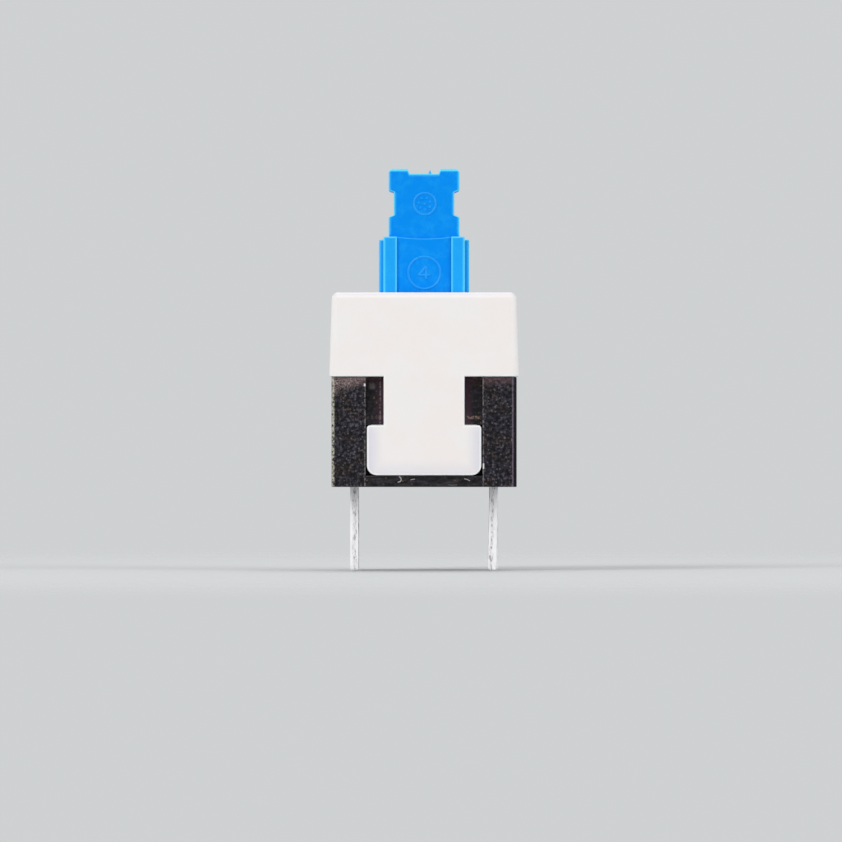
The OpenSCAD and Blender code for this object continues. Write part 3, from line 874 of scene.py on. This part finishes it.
def sprung_metal(name, tint, roughness, grain):
    """Bright metal that was rolled or drawn, with fine lines and a little staining."""
    finish = Finish(name, tint)
    lines = finish.noise(grain, roughness=0.65, place=finish.drawn(1, 1, 1 / 8))
    stained = tuple(0.6 * part for part in tint)
    finish.lay(stained, finish.ramp(finish.noise(0.8 * MM), 0.35, 0.7, 0.0, 0.35))
    finish.set(
        Base_Color=finish.colour,
        Metallic=1.0,
        Roughness=finish.uneven(lines, roughness, 0.07, 0.1),
        Normal=finish.bump(lines, 0.004 * MM, 0.5),
    )
    return finish.material


# ---- Stage ----

# Each lamp's name, place, size, power and tint
LAMPS = (
    ("key_light", (-0.55, -0.60, 0.50), 0.45, 4.7, (1.0, 0.99, 0.975)),
    ("fill_light", (0.76, -0.50, 0.34), 0.60, 3.35, (0.97, 0.985, 1.0)),
    ("top_light", (0.05, 0.25, 0.90), 0.60, 2.3, (1.0, 1.0, 1.0)),
)


def lamp(name, place, size, power, tint):
    """A square soft light that faces the middle of the switch."""
    data = bpy.data.lights.new(name, "AREA")
    data.shape = "SQUARE"
    data.size = size
    data.energy = power
    data.color = tint
    made = add_object(name, data)
    made.location = place
    made.rotation_mode = "QUATERNION"
    facing = Vector((0, 0, 5 * MM)) - Vector(place)
    made.rotation_quaternion = facing.to_track_quat("-Z", "Y")


def backdrop_world(settings):
    """Even light from all round, seen by the camera and in gloss as the pale backdrop."""
    world = bpy.data.worlds.new("backdrop")
    bpy.context.scene.world = world
    world.use_nodes = True
    tree = world.node_tree
    tree.nodes.clear()
    output = tree.nodes.new("ShaderNodeOutputWorld")
    mix = tree.nodes.new("ShaderNodeMixShader")
    rays = tree.nodes.new("ShaderNodeLightPath")
    either = rays.outputs["Is Camera Ray"]
    for ray in ("Is Glossy Ray", "Is Transmission Ray"):
        larger = tree.nodes.new("ShaderNodeMath")
        larger.operation = "MAXIMUM"
        tree.links.new(either, larger.inputs[0])
        tree.links.new(rays.outputs[ray], larger.inputs[1])
        either = larger.outputs[0]
    tree.links.new(either, mix.inputs["Fac"])
    sources = ((1, 1, 1), settings.ambient), (settings.backdrop, 1)
    for i, (tint, strength) in enumerate(sources, start=1):
        source = tree.nodes.new("ShaderNodeBackground")
        source.inputs["Color"].default_value = (*tint, 1)
        source.inputs["Strength"].default_value = strength
        tree.links.new(source.outputs[0], mix.inputs[i])
    tree.links.new(mix.outputs[0], output.inputs["Surface"])


def floor_disc(settings, height):
    """A pale floor under the pins that fades into the backdrop."""
    finish = Finish("floor")
    finish.set(Base_Color=tuple(settings.backdrop), Roughness=0.8, Specular_IOR_Level=0.1)
    distance = finish.node("VectorMath", {"Vector": finish.place}, operation="LENGTH")
    radius = settings.floor_radius
    far = finish.ramp(distance.outputs["Value"], 0.25 * radius, 0.95 * radius)
    clear = finish.node("BsdfTransparent", {})
    mix = finish.node("MixShader", {"Fac": far})
    finish.tree.links.new(finish.shader.outputs["BSDF"], mix.inputs[1])
    finish.tree.links.new(clear.outputs["BSDF"], mix.inputs[2])
    finish.tree.links.new(mix.outputs["Shader"], finish.output.inputs["Surface"])
    bm = bmesh.new()
    bmesh.ops.create_circle(bm, cap_ends=True, segments=96, radius=radius)
    floor = add_object("floor", as_mesh(bm, "floor"))
    floor.data.materials.append(finish.material)
    floor.location = (0, 0, height)


# ---- Operators ----


class SWITCH_OT_cap(bpy.types.Operator):
    """Moulds the white cap, with its two snap tongues"""

    bl_idname = "switch.cap"
    bl_label = "Cap"

    def execute(self, context):
        settings = context.scene.switch_cap
        low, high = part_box("cap")
        draft = 0.12 * MM  # the walls lean in by less than this

        def outside(p):
            from_walls = min(p.x - low.x, high.x - p.x, p.y - low.y, high.y - p.y)
            return from_walls < draft or high.z - p.z < TOUCH

        bm = cad_solid("cap")
        round_edges(bm, creases(bm, outside), settings.edge)
        new_piece(bm, "cap_moulding", "cap", white_plastic(settings))
        return {"FINISHED"}


# Points along each burr on the sill, in millimetres, then its radius and its share of the pale burr
# tone, which is partly painted highlight
BURRS = (
    (((-0.57, 0.30), (-0.47, 0.325), (-0.38, 0.335)), 0.018, 0.5),
    (((1.69, 0.345), (1.80, 0.325), (1.93, 0.26)), 0.018, 0.55),
    (((1.00, 0.09), (1.20, 0.075), (1.39, 0.09)), 0.014, 0.2),
)


class SWITCH_OT_base(bpy.types.Operator):
    """Moulds the black base, with its posts, hooks and sills"""

    bl_idname = "switch.base"
    bl_label = "Base"

    def execute(self, context):
        settings = context.scene.switch_base
        low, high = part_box("base")
        post_depth = 0.78 * MM

        def outside(p):
            on_walls = min(p.x - low.x, high.x - p.x) < TOUCH
            return on_walls or min(p.y - low.y, high.y - p.y) < post_depth

        bm = cad_solid("base")
        # The rounded edges take a faint painted highlight in the burr tone
        round_edges(bm, creases(bm, outside), settings.edge, painted_highlight=0.04)
        piece = new_piece(bm, "base_moulding", "base", black_plastic(settings))
        raise_marks(piece, self.burrs(Vector((0, low.y, 0))) + self.webs())
        return {"FINISHED"}

    def burrs(self, sill):
        """A curl and three fine burrs on the front sill."""
        middle = sill + Vector((-1.08, 0, 0.32)) * MM
        start, turn = math.radians(80), math.radians(-185)
        curl = circle_points(middle, 0.115 * MM, steps=12, turn=turn, start=start)
        burrs = [bar(curl, radius=0.02 * MM, light=0.7)]
        for places, radius, light in BURRS:
            points = [sill + Vector((x, 0, z)) * MM for x, z in places]
            burrs.append(bar(points, radius * MM, light))
        return burrs

    def webs(self):
        """Webs behind the edges of the cap's feet, so that no light comes through beside them."""
        half = Vector((0.33, 0.125, 1.12))
        middles = [Vector((x, y, 1.62)) for x in (-2.58, 2.58) for y in (-3.145, 3.145)]
        return [block(middle, half) for middle in middles]


# The strokes of the numeral in the panel's ring, in millimetres from its middle
FOUR = (
    ((0.08, -0.27), (0.08, 0.27)),
    ((0.08, 0.27), (-0.24, -0.1)),
    ((-0.24, -0.1), (0.26, -0.1)),
)


class SWITCH_OT_plunger(bpy.types.Operator):
    """Moulds the blue plunger, with its key, panels, fins and mould marks"""

    bl_idname = "switch.plunger"
    bl_label = "Plunger"

    def execute(self, context):
        settings = context.scene.switch_plunger
        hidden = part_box("cap")[1].z - 0.9 * MM
        bm = cad_solid("plunger")
        join_corners(bm)
        round_edges(bm, creases(bm, lambda p: p.z > hidden), settings.edge)
        self.dim_ledge(bm)
        piece = new_piece(
            bm, "plunger_moulding", "plunger", blue_plastic(settings)
        )
        raise_marks(piece, self.marks(settings.mark_height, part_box("plunger")[1].z))
        return {"FINISHED"}

    def dim_ledge(self, bm):
        """Paints less highlight on the edge over each panel than on the others."""
        ledge_z, panel_half = 10.58 * MM, 1.1 * MM
        layer = bm.faces.layers.float["painted_highlight"]
        for face in bm.faces:
            middle = face.calc_center_median()
            over_panel = abs(middle.x) < panel_half and abs(middle.z - ledge_z) < 0.2 * MM
            if face[layer] and over_panel:
                face[layer] = 0.3

    def marks(self, height, top):
        """A ring of dots on the key, a ringed numeral on the panel and a speck in the groove."""
        # The marks take a small share of painted highlight
        radius, light = 0.06 * MM, 0.15
        sunk = Vector((0, radius - height, 0))
        key_front = Vector((0.03 * MM, -1.5 * MM, 11.97 * MM))
        panel_front = Vector((0.01 * MM, -1.6 * MM, 9.05 * MM))
        key_ring = circle_points(key_front + sunk, 0.46 * MM)
        panel_ring = circle_points(panel_front + sunk, 0.68 * MM)
        marks = [bar(points, radius, light, closed=True) for points in (key_ring, panel_ring)]
        speck = Vector((0.25 * MM, -1.25 * MM, top - 0.23 * MM))
        speck_height, speck_radius = 0.17 * MM, 0.07 * MM
        upright = Matrix.Translation(speck + Vector((0, 0, speck_height / 2)))
        marks.append(
            cone(upright, foot=speck_radius, tip=speck_radius / 4, depth=speck_height, light=0.5)
        )
        facing = Matrix.Rotation(math.radians(90), 4, "X")
        dot = 0.07 * MM
        for spot in (key_front, *circle_points(key_front, 0.25 * MM, steps=7, start=0.3)):
            place = Matrix.Translation(spot) @ facing
            marks.append(cone(place, foot=1.4 * dot, tip=0.6 * dot, depth=2 * height, light=0.1))
        for stroke in FOUR:
            ends = [panel_front + sunk + Vector((x, 0, z)) * MM for x, z in stroke]
            marks.append(bar(ends, radius, light))
        return marks


class SWITCH_OT_terminals(bpy.types.Operator):
    """Shears and plates the six terminals"""

    bl_idname = "switch.terminals"
    bl_label = "Terminals"

    def execute(self, context):
        settings = context.scene.switch_terminal
        material = silver_plate(settings)
        for node in TERMINALS:
            bm = cad_solid(node)
            bmesh.ops.remove_doubles(bm, verts=bm.verts, dist=STEP)
            round_edges(bm, creases(bm), settings.edge)
            line = settings.line if "right" in node else 0
            shear(bm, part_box(node)[0].z, settings.ripple, line)
            new_piece(bm, node.replace("terminal", "pin"), node, material)
        return {"FINISHED"}


class SWITCH_OT_contacts(bpy.types.Operator):
    """Presses the two contact springs that ride on the plunger"""

    bl_idname = "switch.contacts"
    bl_label = "Contact springs"

    def execute(self, context):
        settings = context.scene.switch_inside
        material = sprung_metal(
            "contact_bronze_sheet", settings.bronze, roughness=0.25, grain=0.04 * MM
        )
        for node in ("contact_left", "contact_right"):
            bm = cad_solid(node)
            round_edges(bm, creases(bm), settings.edge)
            new_piece(bm, node + "_spring", node, material)
        return {"FINISHED"}


class SWITCH_OT_return_spring(bpy.types.Operator):
    """Winds the return spring as one fixed coil, though the real spring closes up as the plunger
    goes down
    """

    bl_idname = "switch.return_spring"
    bl_label = "Return spring"

    def execute(self, context):
        settings = context.scene.switch_inside
        low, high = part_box("return_spring")
        bm = wound_wire(low, high, settings.wire, settings.turns)
        material = sprung_metal("spring_wire", settings.spring, roughness=0.28, grain=0.05 * MM)
        piece = new_piece(bm, "return_coil", "return_spring", material)
        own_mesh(piece)
        return {"FINISHED"}


class SWITCH_OT_lock_pin(bpy.types.Operator):
    """Bends the wire pin that latches the plunger"""

    bl_idname = "switch.lock_pin"
    bl_label = "Lock pin"

    def execute(self, context):
        settings = context.scene.switch_inside
        bm = cad_solid("lock_pin")
        round_edges(bm, creases(bm), settings.pin_edge)
        material = sprung_metal("lock_pin_wire", settings.pin, roughness=0.22, grain=0.05 * MM)
        new_piece(bm, "lock_wire", "lock_pin", material)
        return {"FINISHED"}


class SWITCH_OT_stage(bpy.types.Operator):
    """Sets the floor, the lights and the camera"""

    bl_idname = "switch.stage"
    bl_label = "Stage"

    def execute(self, context):
        scene = context.scene
        settings = scene.switch_stage
        scene.view_settings.view_transform = "Standard"
        backdrop_world(settings)
        floor_disc(settings, CAD_BOX[0].z)
        for details in LAMPS:
            lamp(*details)
        data = bpy.data.cameras.new("camera")
        data.lens = settings.lens
        data.sensor_width = 36
        data.clip_start = 0.01
        data.clip_end = 10
        camera = add_object("camera", data)
        left = 0.13 * MM
        camera.location = (-left, -settings.distance, settings.height)
        camera.rotation_euler = (math.radians(90), 0, 0)
        scene.camera = camera
        return {"FINISHED"}


OPERATORS = (
    SWITCH_OT_stage,
    SWITCH_OT_cap,
    SWITCH_OT_base,
    SWITCH_OT_plunger,
    SWITCH_OT_terminals,
    SWITCH_OT_contacts,
    SWITCH_OT_return_spring,
    SWITCH_OT_lock_pin,
)


class SWITCH_PT_build(bpy.types.Panel):
    """Lists the operators and the settings that they read"""

    bl_label = "Push-button switch"
    bl_idname = "SWITCH_PT_build"
    bl_space_type = "VIEW_3D"
    bl_region_type = "UI"
    bl_category = "Switch"

    def draw(self, context):
        for operator in OPERATORS:
            self.layout.operator(operator.bl_idname)
        for name, group in SETTINGS.items():
            box = self.layout.box()
            settings = getattr(context.scene, name)
            for field in group.__annotations__:
                box.prop(settings, field)


def register():
    for name, group in SETTINGS.items():
        bpy.utils.register_class(group)
        setattr(bpy.types.Scene, name, PointerProperty(type=group))
    for operator in OPERATORS:
        bpy.utils.register_class(operator)
    bpy.utils.register_class(SWITCH_PT_build)


def unregister():
    bpy.utils.unregister_class(SWITCH_PT_build)
    for operator in reversed(OPERATORS):
        bpy.utils.unregister_class(operator)
    for name, group in SETTINGS.items():
        delattr(bpy.types.Scene, name)
        bpy.utils.unregister_class(group)


def main():
    register()
    bpy.ops.switch.stage()
    bpy.ops.switch.cap()
    bpy.ops.switch.base()
    bpy.ops.switch.plunger()
    bpy.ops.switch.terminals()
    bpy.ops.switch.contacts()
    bpy.ops.switch.return_spring()
    bpy.ops.switch.lock_pin()


if __name__ == "__main__":
    main()
